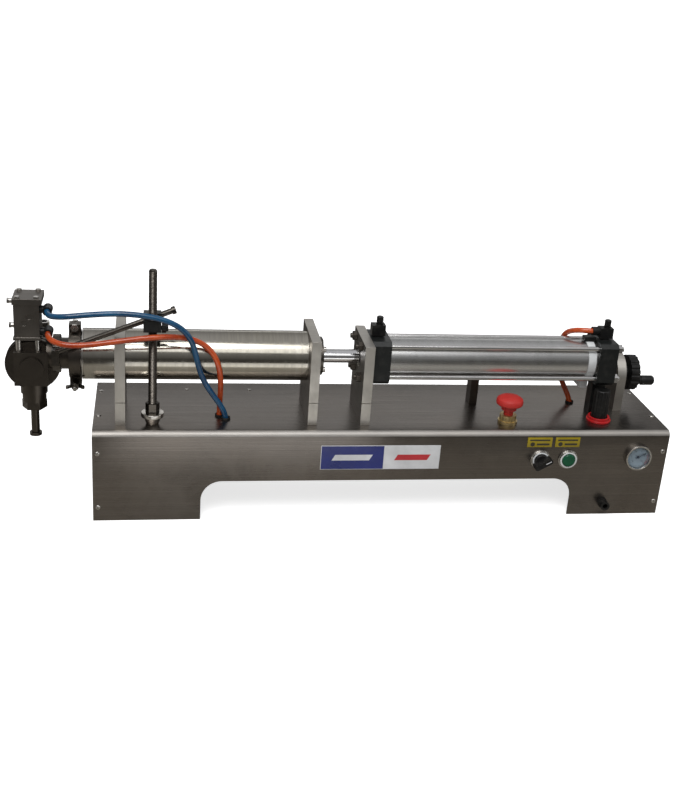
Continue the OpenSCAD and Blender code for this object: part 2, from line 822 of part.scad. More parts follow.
module head_actuator() {
    org() color([0.3, 0.3, 0.31]) difference() {
        union() {
            box(hx - 22, 54, act_z0, hx + 12, 96, act_z1 - 4);
            box(hx - 23.5, 52.5, act_z1 - 8, hx + 16, 97.5, act_z1);
            box(hx - 23.5, 52.5, act_z0, hx + 13.5, 97.5, act_z0 + 4);
        }
        cyl_z(hx, ay, act_z0 - 1, 9, 45);
        for (dx = [-9, 9]) cyl_y(hx - 5 + dx * 0.4, 53, 281 + dx * 0.5, 4, 2.5);
    }
}

module head_trim() {
    org() color([0.78, 0.78, 0.78]) {
        for (x = [hx - 17, hx + 8.5]) for (sy = [-1, 1]) {
            cyl_z(x, ay + sy * 17, blk_z1, 3.8, act_z0 - blk_z1);
            cyl_z(x, ay + sy * 17, act_z1, 3.5, 3);
        }
        cyl_x(hx - 28, 66, 305, 3.4, 4.5);
        hex_x(hx - 31, 66, 305, 7, 3);
        cyl_x(hx - 26.5, 66, 270, 3.4, 4.5);
        hex_x(hx - 29.5, 66, 270, 7, 3);
    }
}

module valve_body() {
    org() color([0.5, 0.5, 0.5]) difference() {
        union() {
            box(hx - 24, 50, blk_z0, hx + 22, 100, blk_z1);
            cyl_y(hx, 62, disc_z, disc_d / 2 - 3, 26);
            cyl_y(hx, 67, disc_z, disc_d / 2, 6);
            cyl_y(hx, 76, disc_z, disc_d / 2, 6);
            cyl_x(hx + 20, ay, az, 22, 34);
            cyl_x(clamp_x - 4, ay, az, 32, 3);
            cyl_y(hx, 47, disc_z, 16, 4);
        }
        cyl_z(hx, ay, disc_z - 45, 8, 58);
        cyl_z(hx, ay, disc_z - 45, 3.05, 90);
        cyl_x(hx, ay, 222, 15, 80);
        cyl_y(hx + 12, ay, 222, 5, 40);
    }
}

module outlet_body() {
    org() color([0.5, 0.5, 0.5]) difference() {
        union() {
            cyl_z(hx, ay, 168, 18.5, 18);
            cyl_z(hx, ay, 156, 16.5, 13);
            hex_z(hx, ay, 145, 30, 11.5);
        }
        cyl_z(hx, ay, 144, 8, 50);
        cyl_y(hx, 61.95, disc_z, disc_d / 2 - 2.98, 26.1);
        cyl_y(hx, 66.95, disc_z, disc_d / 2 + 0.02, 15.1);
    }
}

module nozzle() {
    org() color([0.72, 0.72, 0.72]) difference() {
        union() {
            cyl_z(hx, ay, 106, nozzle_d / 2, 41);
            cyl_z(hx, ay, 146, 7.9, 8);
        }
        cyl_z(hx, ay, 100, 4.2, 60);
    }
}

// Spindle, its piston in the actuator, and the tip disc that shuts the nozzle.
module nozzle_valve() {
    org() color([0.75, 0.75, 0.75]) {
        cyl_z(hx, ay, 101, 3, 171);
        cyl_z(hx, ay, 101.5, 8.6, 4.4);
        cyl_z(hx, ay, 272, 8.95, 12);
    }
}

module inlet_port() {
    org() color([0.78, 0.78, 0.78]) difference() {
        union() {
            cyl_y(hx + 12, 100, 222, 9, 18);
            cyl_z(hx + 12, 118, 213, 9, 22);
            cyl_z(hx + 12, 118, 234, 8, 24);
        }
        cyl_y(hx + 12, 99, 222, 5, 19);
        cyl_z(hx + 12, 118, 220, 5, 40);
    }
}

function unit(v) = v / norm(v);
function tangent(p, i) = unit(p[min(i + 1, len(p) - 1)] - p[max(i - 1, 0)]);
function side(t) = unit(cross(t, abs(t[1]) > 0.9 ? [1, 0, 0] : [0, 1, 0]));
function ring(c, t, r) = let (u = side(t), v = cross(t, u)) [for (k = [0:9]) c + r * (u * cos(36 * k) + v * sin(36 * k))];

module sweep(p, r) {
    n = len(p);
    pts = [for (i = [0:n - 1]) for (q = ring(p[i], tangent(p, i), r)) q];
    sides = [for (i = [0:n - 2]) for (k = [0:9]) [10 * i + k, 10 * i + (k + 1) % 10, 10 * i + 10 + (k + 1) % 10, 10 * i + 10 + k]];
    tris = [for (q = sides) for (f = [[q[0], q[1], q[2]], [q[0], q[2], q[3]]]) f];
    start = [for (k = [1:8]) [0, k + 1, k]];
    finish = [for (k = [1:8]) [10 * (n - 1), 10 * (n - 1) + k, 10 * (n - 1) + k + 1]];
    polyhedron(points = pts, faces = concat(tris, start, finish));
}

module blue_hose() {
    org() color([0.05, 0.2, 0.45]) sweep(blue_route, hose_d / 2);
}

module orange_hose() {
    org() color([0.85, 0.3, 0.08]) sweep(orange_route, hose_d / 2);
}

module rear_hose() {
    org() color([0.85, 0.3, 0.08]) sweep(rear_route, hose_d / 2);
}

base_shell();
end_panels();
panel_screws();
base_bolts();
support_a();
support_b();
support_c();
support_d();
rear_foot();
liquid_tube();
tube_outlet();
clamp_jaws();
clamp_pins();
wing_nut();
gasket();
piston();
piston_rod();
rod_gland();
air_barrel();
front_cap();
rear_cap();
tie_rods();
air_piston();
air_fittings();
front_flow_knob();
rear_flow_knob();
switch_carriage();
reed_switch();
lead_screw();
handwheel();
crank_knob();
estop_collar();
estop_head();
switch_bezels();
selector_knob();
start_button();
inner_blocks();
label_plates();
gauge_case();
gauge_dial();
gauge_needle();
gauge_glass();
regulator_ring();
regulator_knob();
grommets();
nameplate();
column();
cross_clamp();
clamp_screw();
arm();
head_actuator();
head_trim();
valve_body();
outlet_body();
nozzle();
nozzle_valve();
inlet_port();
blue_hose();
orange_hose();
rear_hose();
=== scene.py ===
# Looks of a bench-top piston liquid filler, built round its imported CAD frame.
import json
import math

import bmesh
import bpy
from mathutils import Matrix, Vector

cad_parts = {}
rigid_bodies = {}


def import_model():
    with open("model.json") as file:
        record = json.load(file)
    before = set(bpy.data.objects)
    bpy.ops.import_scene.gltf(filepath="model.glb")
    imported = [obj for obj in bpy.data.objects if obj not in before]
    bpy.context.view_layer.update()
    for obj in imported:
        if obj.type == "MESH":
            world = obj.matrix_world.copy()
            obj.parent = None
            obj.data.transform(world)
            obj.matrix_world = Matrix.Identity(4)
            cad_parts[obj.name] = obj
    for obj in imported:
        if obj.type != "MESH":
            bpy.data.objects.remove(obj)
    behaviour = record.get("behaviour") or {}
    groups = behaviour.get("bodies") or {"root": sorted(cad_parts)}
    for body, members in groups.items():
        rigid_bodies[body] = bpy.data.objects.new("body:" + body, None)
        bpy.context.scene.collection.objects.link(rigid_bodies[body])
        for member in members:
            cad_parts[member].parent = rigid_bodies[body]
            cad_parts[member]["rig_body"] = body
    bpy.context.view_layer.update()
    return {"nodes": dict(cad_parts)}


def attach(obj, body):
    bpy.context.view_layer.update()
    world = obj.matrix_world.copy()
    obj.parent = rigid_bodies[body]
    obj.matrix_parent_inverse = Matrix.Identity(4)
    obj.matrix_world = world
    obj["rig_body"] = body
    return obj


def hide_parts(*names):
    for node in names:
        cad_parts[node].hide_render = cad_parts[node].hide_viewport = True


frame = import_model()
NODES = frame["nodes"]
OX, OY = 0.059, -0.0848  # the base's own zero, in the part's frame
SCENE = bpy.context.scene
SCENE.view_settings.view_transform = "Standard"


def P(x, y, z):
    """A point given in the base's own millimetres, in the part's frame in metres."""
    return Vector((x / 1000 + OX, y / 1000 + OY, z / 1000))


# ---------------------------------------------------------------- camera
YAW, PITCH, ROLL = -0.1844, -0.3941, 0.0752  # radians
CAMERA_AT = (-0.28495, -1.5671, 0.8165)
SENSOR = 36
LENS = 52.158496


def make_camera():
    yaw, pitch, roll = YAW, PITCH, ROLL
    fwd = Vector((-math.sin(yaw) * math.cos(pitch), math.cos(yaw) * math.cos(pitch), math.sin(pitch)))
    right = Vector((math.cos(yaw), math.sin(yaw), 0))
    up = right.cross(fwd)
    r2 = right * math.cos(roll) + up * math.sin(roll)
    u2 = up * math.cos(roll) - right * math.sin(roll)
    data = bpy.data.cameras.new("Camera")
    data.lens = LENS
    data.sensor_width = SENSOR
    data.clip_start, data.clip_end = 0.01, 50
    cam = bpy.data.objects.new("Camera", data)
    m = Matrix((r2, u2, -fwd)).transposed().to_4x4()
    m.translation = Vector(CAMERA_AT)
    cam.matrix_world = m
    SCENE.collection.objects.link(cam)
    SCENE.camera = cam


make_camera()


# ---------------------------------------------------------------- node materials
class Mat:
    """A small writer for procedural materials in object coordinates (metres)."""

    def __init__(self, name):
        self.m = bpy.data.materials.new(name)
        self.m.use_nodes = True
        self.t = self.m.node_tree
        self.t.nodes.clear()
        self.out = self.t.nodes.new("ShaderNodeOutputMaterial")
        self.b = self.t.nodes.new("ShaderNodeBsdfPrincipled")
        self.t.links.new(self.b.outputs[0], self.out.inputs[0])
        self.co = self.t.nodes.new("ShaderNodeTexCoord").outputs["Object"]
        self.height = None

    def put(self, socket, value):
        if hasattr(value, "is_linked"):
            self.t.links.new(value, socket)
        else:
            socket.default_value = value

    def set(self, **kw):
        names = {
            "color": "Base Color", "metal": "Metallic", "rough": "Roughness", "ior": "IOR",
            "coat": "Coat Weight", "coat_rough": "Coat Roughness", "trans": "Transmission Weight",
            "alpha": "Alpha", "spec": "Specular IOR Level", "sss": "Subsurface Weight",
            "sss_scale": "Subsurface Scale",
        }
        for k, v in kw.items():
            self.put(self.b.inputs[names[k]], v)
        return self

    def place(self, scale, move=(0, 0, 0)):
        n = self.t.nodes.new("ShaderNodeMapping")
        self.t.links.new(self.co, n.inputs[0])
        n.inputs["Scale"].default_value = scale
        n.inputs["Location"].default_value = move
        return n.outputs[0]

    def noise(self, scale, detail=4.0, rough=0.55, distort=0.0, move=(0, 0, 0)):
        scale = (scale,) * 3 if isinstance(scale, (int, float)) else scale
        n = self.t.nodes.new("ShaderNodeTexNoise")
        self.t.links.new(self.place(scale, move=move), n.inputs["Vector"])
        n.inputs["Scale"].default_value = 1.0
        n.inputs["Detail"].default_value = detail
        n.inputs["Roughness"].default_value = rough
        n.inputs["Distortion"].default_value = distort
        return n.outputs[0]

    def axis(self, i):
        n = self.t.nodes.new("ShaderNodeSeparateXYZ")
        self.t.links.new(self.co, n.inputs[0])
        return n.outputs[i]

    def math(self, op, a, b=0.0, c=0.0):
        n = self.t.nodes.new("ShaderNodeMath")
        n.operation = op
        for s, v in zip(n.inputs, (a, b, c)):
            self.put(s, v)
        return n.outputs[0]

    def span(self, v, a, b, c=0.0, d=1.0, smooth=False):
        n = self.t.nodes.new("ShaderNodeMapRange")
        n.interpolation_type = "SMOOTHSTEP" if smooth else "LINEAR"
        for s, x in zip(n.inputs, (v, a, b, c, d)):
            self.put(s, x)
        return n.outputs[0]

    def mix(self, f, a, b):
        n = self.t.nodes.new("ShaderNodeMix")
        n.data_type = "RGBA"
        n.clamp_factor = True
        self.put(n.inputs[0], f)
        self.put(n.inputs[6], rgba(a))
        self.put(n.inputs[7], rgba(b))
        return n.outputs[2]

    def bump(self, height, strength=0.2, distance=0.0005):
        n = self.t.nodes.new("ShaderNodeBump")
        n.inputs["Strength"].default_value = strength
        n.inputs["Distance"].default_value = distance
        self.put(n.inputs["Height"], height)
        if self.height is not None:
            self.t.links.new(self.height, n.inputs["Normal"])
        self.height = n.outputs[0]
        self.t.links.new(self.height, self.b.inputs["Normal"])
        return self


def rgba(c):
    if isinstance(c, (tuple, list)) and len(c) == 3:
        return (*c, 1.0)
    return c


def shade(c, k):
    return tuple(min(1.0, v * k) for v in c)


GRAIN = {"x": (6, 1500, 1500), "y": (1500, 6, 1500), "z": (1500, 1500, 6)}
RINGS = {"x": (1600, 30, 30), "y": (30, 1600, 30), "z": (30, 30, 1600)}


def metal(name, color, rough=0.3, grain=None, depth=0.25, spread=0.1, blotch=0.12, warm=None, dirt=0.0):
    """Bare metal: grain lines, slow smudges, a fine bump and a little grime."""
    m = Mat(name)
    smudge = m.noise(17, 5, 0.6, 0.6)
    fine = m.noise(420, 3, 0.6)
    base = m.mix(m.span(smudge, 0.32, 0.7), shade(color, 1 - blotch), shade(color, 1 + blotch * 0.8))
    if warm:
        base = m.mix(m.span(m.noise(6, 3), 0.4, 0.72, 0, 0.55), base, warm)
    r = m.math("MULTIPLY_ADD", smudge, spread * 1.6, rough - spread * 0.8)
    height = fine
    if grain:
        line = m.noise(grain, 3, 0.65)
        broad = m.noise(tuple(v * 0.22 for v in grain), 2, 0.5, move=(3, 5, 7))
        base = m.mix(m.span(line, 0.35, 0.7, 0, 0.5), base, shade(color, 0.72))
        base = m.mix(m.span(broad, 0.5, 0.75, 0, 0.35), base, shade(color, 1.25))
        r = m.math("ADD", r, m.span(line, 0.3, 0.7, -0.06, 0.08))
        height = m.math("ADD", m.math("MULTIPLY", line, 0.7), m.math("MULTIPLY", fine, 0.15))
    if dirt:
        spots = m.span(m.noise(60, 6, 0.7, 0.3), 0.58, 0.75, 0, dirt)
        base = m.mix(spots, base, shade(color, 0.35))
        r = m.math("ADD", r, m.math("MULTIPLY", spots, 0.25))
    m.set(color=base, metal=1.0, rough=m.math("MAXIMUM", r, 0.05))
    return m.bump(height, depth, 0.00006 if grain else 0.00012)


def plastic(name, color, rough=0.4, pebble=260, depth=0.15, spec=0.5, coat=0.0, wear=0.0, dusty=0.0):
    """Moulded plastic or rubber: pebbled skin, uneven gloss, dust in places and worn lighter spots."""
    m = Mat(name)
    slow = m.noise(26, 4, 0.55, 0.3)
    skin = m.noise(pebble * 4, 3, 0.6)
    base = m.mix(m.span(slow, 0.3, 0.72), shade(color, 0.82), shade(color, 1.14))
    if dusty:
        dust = m.span(m.noise(90, 6, 0.72), 0.48, 0.72, 0, dusty)
        base = m.mix(dust, base, (0.32, 0.3, 0.27))
    if wear:
        rub = m.span(m.noise(150, 4, 0.7, 0.5), 0.6, 0.78, 0, wear)
        base = m.mix(rub, base, shade(color, 2.2))
    r = m.math("MULTIPLY_ADD", slow, 0.22, rough - 0.1)
    m.set(color=base, metal=0.0, rough=r, spec=spec)
    if coat:
        m.set(coat=coat, coat_rough=0.12)
    return m.bump(skin, depth, 0.00012)


M = {}
M["sheet_front"] = metal("brushed_steel_sheet", (0.2, 0.182, 0.166), 0.3, GRAIN["x"], 0.22, 0.1, 0.16,
                         (0.205, 0.175, 0.145), 0.12)
M["sheet_end"] = metal("brushed_steel_end", (0.21, 0.19, 0.175), 0.36, GRAIN["y"], 0.22, 0.1, 0.14, None,
                       0.12)
# The two long bends take a lighter copy of the sheet steel: a painted highlight along the bends.
M["sheet_bend"] = metal("bend_steel_painted_highlight", (0.44, 0.42, 0.395), 0.52, GRAIN["x"], 0.2, 0.1, 0.12,
                        (0.5, 0.46, 0.41), 0.05)
# The plates' x-facing side faces take a darker copy of the plate steel: painted shade.
M["plate_side"] = metal("plate_side_painted_shade", (0.26, 0.245, 0.225), 0.42, (40, 1300, 60), 0.25, 0.12, 0.16,
                        (0.22, 0.19, 0.16), 0.1)
M["tie_rod"] = metal("bright_tie_rod", (0.82, 0.81, 0.8), 0.2, GRAIN["x"], 0.1, 0.08, 0.08)
M["plate"] = metal("machined_plate", (0.6, 0.575, 0.53), 0.46, (60, 1300, 40), 0.25, 0.12, 0.12,
                   (0.36, 0.33, 0.28), 0.06)
M["tube"] = metal("polished_tube", (0.47, 0.445, 0.4), 0.15, (420, 14, 14), 0.03, 0.07, 0.06,
                  (0.46, 0.43, 0.33), 0.0)
M["steel"] = metal("polished_steel", (0.6, 0.58, 0.55), 0.2, RINGS["x"], 0.12, 0.08, 0.1, (0.5, 0.46, 0.4),
                   0.1)
M["cast"] = metal("cast_steel", (0.1, 0.088, 0.076), 0.36, None, 0.45, 0.16, 0.25, (0.1, 0.087, 0.07), 0.3)
M["dark_steel"] = metal("dark_turned_steel", (0.11, 0.1, 0.088), 0.28, RINGS["z"], 0.2, 0.12, 0.2,
                        (0.16, 0.14, 0.12), 0.2)
M["bright"] = metal("bright_steel", (0.55, 0.53, 0.5), 0.26, None, 0.18, 0.1, 0.14, None, 0.1)
M["rod"] = metal("chrome_rod", (0.8, 0.8, 0.81), 0.08, (1400, 10, 10), 0.05, 0.04, 0.05)
M["barrel"] = metal("drawn_aluminium", (0.66, 0.66, 0.655), 0.28, GRAIN["x"], 0.14, 0.08, 0.07, None, 0.03)
M["alu"] = metal("grey_aluminium", (0.21, 0.193, 0.175), 0.4, None, 0.35, 0.12, 0.18, (0.14, 0.125, 0.105),
                 0.2)
M["black"] = plastic("black_anodised_metal", (0.007, 0.0085, 0.0085), 0.4, 200, 0.12, 0.45, 0.0, 0.25, 0.05)
M["black_plastic"] = plastic("black_moulded_plastic", (0.006, 0.006, 0.006), 0.42, 240, 0.2, 0.35, 0.0, 0.2,
                             0.06)
M["rubber"] = plastic("black_rubber", (0.01, 0.01, 0.01), 0.6, 300, 0.3, 0.35, 0.0, 0.0, 0.12)
M["white_rubber"] = plastic("white_rubber", (0.72, 0.7, 0.66), 0.5, 240, 0.15, 0.4, 0.0, 0.0, 0.08)
M["white_plastic"] = plastic("white_moulded_plastic", (0.76, 0.78, 0.79), 0.33, 240, 0.1, 0.5, 0.2, 0.0, 0.06)
M["red"] = plastic("red_moulded_plastic", (0.56, 0.03, 0.025), 0.48, 220, 0.1, 0.4, 0.0, 0.0, 0.04)
M["red_dark"] = plastic("red_ring_plastic", (0.5, 0.012, 0.014), 0.4, 220, 0.12, 0.35, 0.0, 0.0, 0.05)
M["green"] = plastic("green_moulded_plastic", (0.0, 0.085, 0.035), 0.3, 220, 0.08, 0.4, 0.15, 0.0, 0.02)
M["yellow"] = plastic("yellow_label_film", (0.36, 0.27, 0.01), 0.42, 260, 0.08, 0.5, 0.1, 0.0, 0.1)
# Dark print for label marks; the screw heads also use it for a cross of painted shade where the recess would
# be.
M["ink"] = plastic("dark_print_and_recess_shade", (0.05, 0.045, 0.03), 0.5, 260, 0.05, 0.4)
M["blue_paint"] = plastic("blue_panel_paint", (0.012, 0.022, 0.16), 0.3, 260, 0.06, 0.5, 0.3, 0.0, 0.04)
M["white_paint"] = plastic("white_panel_paint", (0.66, 0.67, 0.69), 0.32, 260, 0.06, 0.5, 0.3, 0.0, 0.04)
M["red_paint"] = plastic("red_panel_paint", (0.52, 0.03, 0.04), 0.32, 260, 0.06, 0.5, 0.3)
M["dial"] = plastic("pale_dial_enamel", (0.33, 0.42, 0.5), 0.4, 260, 0.04, 0.5, 0.2)
M["needle"] = plastic("dark_needle_paint", (0.012, 0.02, 0.05), 0.4, 260, 0.04, 0.5)


def brass_material():
    m = Mat("aged_brass")
    slow = m.noise(70, 5, 0.6, 0.5)
    base = m.mix(m.span(slow, 0.35, 0.7), (0.42, 0.3, 0.12), (0.78, 0.64, 0.36))
    base = m.mix(m.span(m.noise(260, 4, 0.7), 0.55, 0.75, 0, 0.6), base, (0.2, 0.13, 0.05))
    m.set(color=base, metal=0.85, rough=m.math("MULTIPLY_ADD", slow, 0.25, 0.22))
    return m.bump(m.noise(700, 3), 0.2, 0.0001)


def hose_material(name, deep, light):
    m = Mat(name)
    run = m.noise((35, 35, 35), 3, 0.5)
    base = m.mix(m.span(run, 0.35, 0.7), deep, light)
    base = m.mix(m.span(m.noise(500, 4, 0.7), 0.6, 0.8, 0, 0.3), base, shade(deep, 0.5))
    m.set(color=base, metal=0.0, rough=m.math("MULTIPLY_ADD", run, 0.16, 0.2), ior=1.5, coat=0.35,
          coat_rough=0.1, sss=0.12,
          sss_scale=0.004)
    return m.bump(m.noise(380, 3), 0.06, 0.0001)


def glass_material():
    m = Mat("clear_gauge_window")
    smear = m.noise(90, 5, 0.6, 0.5)
    m.set(color=m.mix(smear, (0.95, 0.98, 1.0), (0.86, 0.92, 0.95)),
          rough=m.math("MULTIPLY_ADD", smear, 0.08, 0.02), ior=1.45,
          trans=1.0, alpha=0.35)
    return m.bump(m.noise(240, 3), 0.03, 0.0001)


M["brass"] = brass_material()
M["blue_hose"] = hose_material("blue_hose_skin", (0.003, 0.05, 0.13), (0.008, 0.11, 0.24))
M["orange_hose"] = hose_material("orange_hose_skin", (0.4, 0.042, 0.006), (0.66, 0.1, 0.015))
M["glass"] = glass_material()


# ---------------------------------------------------------------- mesh helpers
CORNER_STEPS = 3


def soften(points, r):
    """The same open line with each inner corner rounded off."""
    out = [points[0]]
    for a, b, c in zip(points, points[1:], points[2:]):
        a, b, c = Vector(a), Vector(b), Vector(c)
        la, lc = (a - b).length, (c - b).length
        if la < 1e-9 or lc < 1e-9 or abs((a - b).normalized().dot((c - b).normalized())) > 0.985:
            out.append(tuple(b))
            continue
        k = min(r, 0.45 * la, 0.45 * lc)
        s, e = b + (a - b).normalized() * k, b + (c - b).normalized() * k
        for i in range(CORNER_STEPS + 1):
            t = i / CORNER_STEPS
            out.append(tuple(s * (1 - t) ** 2 + b * 2 * t * (1 - t) + e * t * t))
    out.append(points[-1])
    return out


AXES = {
    "z": lambda r, a, h: (r * math.cos(a), r * math.sin(a), h),
    "x": lambda r, a, h: (h, r * math.cos(a), r * math.sin(a)),
    "y": lambda r, a, h: (r * math.sin(a), h, r * math.cos(a)),
}


WELD = 1e-5
SHARP_ANGLE = 35  # degrees between faces, over which an edge stays crisp


class Shape:
    """Gathers parts in the base's own millimetres, then makes one object of them."""

    def __init__(self):
        self.v, self.f, self.m = [], [], []

    def take(self, verts, faces, mi=0, turn=None):
        k = len(self.v)
        self.v += [tuple(turn @ Vector(p)) for p in verts] if turn else [tuple(p) for p in verts]
        self.f += [tuple(i + k for i in f) for f in faces]
        self.m += [mi] * len(faces)

    def lathe(self, profile, at, axis="z", seg=64, r=0.4, mod=None, mi=0):
        """Turned shape from (radius, height) points. mod(angle, radius, height) gives a changed radius."""
        prof = soften(profile, r) if r else list(profile)
        verts, faces = [], []
        for rad, h in prof:
            for j in range(seg):
                a = 2 * math.pi * j / seg
                q = mod(a, rad, h) if mod and rad > 0 else rad
                x, y, z = AXES[axis](q, a, h)
                verts.append((at[0] + x, at[1] + y, at[2] + z))
        for i in range(len(prof) - 1):
            for j in range(seg):
                k = (j + 1) % seg
                faces.append((i * seg + j, i * seg + k, (i + 1) * seg + k, (i + 1) * seg + j))
        self.take(verts, faces, mi)

    def bm(self, b, mi=0, turn=None):
        b.verts.index_update()
        self.take([v.co.copy() for v in b.verts], [[v.index for v in f.verts] for f in b.faces], mi, turn)
        b.free()

    def block(self, lo, hi, r=0.5, mi=0, turn=None):
        b = bmesh.new()
        bmesh.ops.create_cube(b, size=1)
        for v in b.verts:
            v.co = Vector([(l + h) / 2 + c * (h - l) for l, h, c in zip(lo, hi, v.co)])
        if r:
            bmesh.ops.bevel(b, geom=b.edges[:], offset=r, segments=2, profile=0.5, affect="EDGES")
        self.bm(b, mi, turn)

    def prism(self, outline, h0, h1, at=(0, 0, 0), axis="z", r=0.4, mi=0, turn=None, seg=2):
        """Extruded outline. Its points lie in the plane across the axis."""
        place = {"z": lambda p, h: (p[0], p[1], h), "x": lambda p, h: (h, p[0], p[1]), "y": lambda p,
                 h: (p[0], h, p[1])}[axis]
        b = bmesh.new()
        low = [b.verts.new(Vector(at) + Vector(place(p, h0))) for p in outline]
        high = [b.verts.new(Vector(at) + Vector(place(p, h1))) for p in outline]
        n = len(outline)
        b.faces.new(low[::-1])
        b.faces.new(high)
        for i in range(n):
            b.faces.new((low[i], low[(i + 1) % n], high[(i + 1) % n], high[i]))
        if r:
            caps = [e for e in b.edges if len(e.link_faces) == 2 and e.calc_face_angle(0) > 0.6]
            bmesh.ops.bevel(b, geom=caps, offset=r, segments=seg, profile=0.5, affect="EDGES")
        self.bm(b, mi, turn)

    def thread(self, at, axis, major, minor, pitch, h0, h1, seg=24):
        steps = int((h1 - h0) / pitch * seg) + seg
        rows = []
        for i in range(steps + 1):
            a = 2 * math.pi * i / seg
            h = h0 - pitch + pitch * i / seg
            ring = []
            for rad, off in ((minor, 0.0), (major, 0.38), (major, 0.52)):
                hh = min(max(h + off * pitch, h0), h1)
                x, y, z = AXES[axis](rad, a, hh)
                ring.append((at[0] + x, at[1] + y, at[2] + z))
            rows.append(ring)
        verts = [p for ring in rows for p in ring]
        faces = []
        for i in range(steps):
            a, b = i * 3, (i + 1) * 3
            faces += [(a, b, b + 1, a + 1), (a + 1, b + 1, b + 2, a + 2)]
            if i + 1 + seg <= steps:
                c, d = (i + seg) * 3, (i + 1 + seg) * 3
                faces.append((a + 2, b + 2, d, c))
        self.take(verts, faces)

    def hexnut(self, at, axis, across_flats, h0, h1, r=0.35):
        rr = across_flats / math.sqrt(3)
        corners = [math.radians(60 * i) for i in range(6)]
        self.prism([(rr * math.cos(a), rr * math.sin(a)) for a in corners], h0, h1, at, axis, r)

    def make(self, name, body, mats, replaces=()):
        b = bmesh.new()
        vs = [b.verts.new(P(*p)) for p in self.v]
        for f, mi in zip(self.f, self.m):
            if len(set(f)) == len(f):
                try:
                    b.faces.new([vs[i] for i in f]).material_index = mi
                except ValueError:
                    pass
        bmesh.ops.remove_doubles(b, verts=b.verts, dist=WELD)
        bmesh.ops.recalc_face_normals(b, faces=b.faces)
        me = bpy.data.meshes.new(name)
        b.to_mesh(me)
        b.free()
        return settle(me, name, body, mats, replaces, SHARP_ANGLE)


def settle(me, name, body, mats, replaces, angle):
    for m in mats if isinstance(mats, (list, tuple)) else [mats]:
        me.materials.append(M[m].m)
    me.shade_smooth()
    me.set_sharp_from_angle(angle=math.radians(angle))
    o = bpy.data.objects.new(name, me)
    SCENE.collection.objects.link(o)
    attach(o, body)
    if replaces:
        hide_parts(*replaces)
    return o


EASED_ANGLE = 32  # degrees between faces, over which a CAD edge is eased


def refine(node, mat, bevel=0.5, pick=None):
    """Stands for a CAD node: the same shape with its edges eased. pick(face) chooses a second material."""
    src = NODES[node]
    b = bmesh.new()
    b.from_mesh(src.data)
    bmesh.ops.remove_doubles(b, verts=b.verts, dist=2e-6)
    bmesh.ops.dissolve_limit(b, angle_limit=math.radians(0.7), verts=b.verts, edges=b.edges,
                             use_dissolve_boundaries=False, delimit=set())
    me = bpy.data.meshes.new(node + "_eased")
    b.verts.index_update()
    me.from_pydata([v.co[:] for v in b.verts], [], [[v.index for v in f.verts] for f in b.faces])
    b.free()
    mats = [mat] if isinstance(mat, str) else list(mat)
    if pick:
        for p in me.polygons:
            p.material_index = pick(p)
    o = settle(me, node + "_eased", src["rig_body"], mats, (node,), EASED_ANGLE)
    if bevel:
        mod = o.modifiers.new("eased", "BEVEL")
        mod.width = bevel / 1000
        mod.segments = 2
        mod.limit_method = "ANGLE"
        mod.angle_limit = math.radians(EASED_ANGLE)
        mod.use_clamp_overlap = True
        mod.harden_normals = True
        mod.miter_outer = "MITER_ARC"
    return o


# ---------------------------------------------------------------- hoses
BLUE = [
    (-484, 55, 294), (-484, 49, 294), (-481.6, 36.8, 294.5), (-474.6, 26.4, 296.3), (-464.2, 19.4, 298.3),
    (-452, 17, 300), (-438, 17, 301.6), (-423, 17.2, 303), (-405, 17.4, 304.4), (-386.5, 17.5, 305),
    (-366, 17.4, 304), (-346, 17.2, 301.5), (-327, 17.2, 297), (-311, 17.4, 290), (-299, 17.8, 280.7),
    (-291, 19, 269.2), (-286, 22, 254.8), (-282.5, 26, 238.6), (-278.5, 30, 221.2), (-272.5, 33.3, 203.5),
    (-263, 36.5, 186.5), (-252.5, 40.2, 170.5), (-244, 43.8, 156.5), (-239.4, 46.1, 145.5), (-238, 47, 137),
    (-238, 47, 132),
]
ORANGE = [
    (-484, 55, 262), (-484, 49, 262), (-481.6, 36.8, 261.6), (-474.6, 26.4, 260.6), (-464.2, 19.4, 259.4),
    (-452, 17, 258.8), (-438, 17, 259), (-422.5, 17, 260.4), (-405, 17, 263), (-386.5, 17, 265.8),
    (-366, 17.2, 268.8), (-346.5, 18, 271), (-326.5, 20.5, 271.6), (-307.7, 25, 270.2),
    (-291.5, 29.5, 266.2), (-277.5, 32.3, 260), (-265.5, 33.5, 251), (-257, 34, 239.5), (-251.5, 34, 225.5),
    (-248.3, 35.6, 209), (-247.2, 41, 192.5), (-247, 48.8, 176.5), (-247, 55.2, 161), (-247, 57.8, 147),
    (-247, 58, 132),
]
REAR = [
    (309, 75, 270), (302, 75.5, 270), (293.5, 78.5, 269.5), (286, 85, 267.5), (280.5, 94.5, 263),
    (277.5, 105.3, 255.9), (277, 114, 244.5), (277.5, 121, 230.5), (279, 126, 215), (281.5, 128.5, 199),
    (285, 128, 183.5), (289.5, 125, 171), (295.8, 120, 158.5), (300.4, 115.4, 148.5),
    (302.7, 112.4, 141.5), (303, 112, 136.5), (303, 112, 132),
]
HOSE_D = 0.008

# Places of the detailed pieces, in the base's own millimetres.
COLUMN = (-342.4, 31, 0)
SCREW_AXIS = (0, 113, 189.5)
ESTOP = (180, 36, 0)
SELECTOR_X, START_X, SWITCH_Z = 226, 269, 93.5
GAUGE_X, GAUGE_Z = 379, 97
REGULATOR = (326, 44, 0)


def hose(name, route, node, mat):
    pts = [P(*Vector(p)) for p in route]
    data = bpy.data.curves.new(name, "CURVE")
    data.dimensions = "3D"
    data.bevel_depth = HOSE_D / 2
    data.bevel_resolution = 6
    data.use_fill_caps = True
    sp = data.splines.new("NURBS")
    sp.points.add(len(pts) - 1)
    for q, p in zip(sp.points, pts):
        q.co = (*p, 1)
    sp.order_u = 4
    sp.use_endpoint_u = True
    sp.resolution_u = 6
    data.materials.append(M[mat].m)
    o = bpy.data.objects.new(name, data)
    SCENE.collection.objects.link(o)
    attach(o, "frame")
    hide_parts(node)
    return o


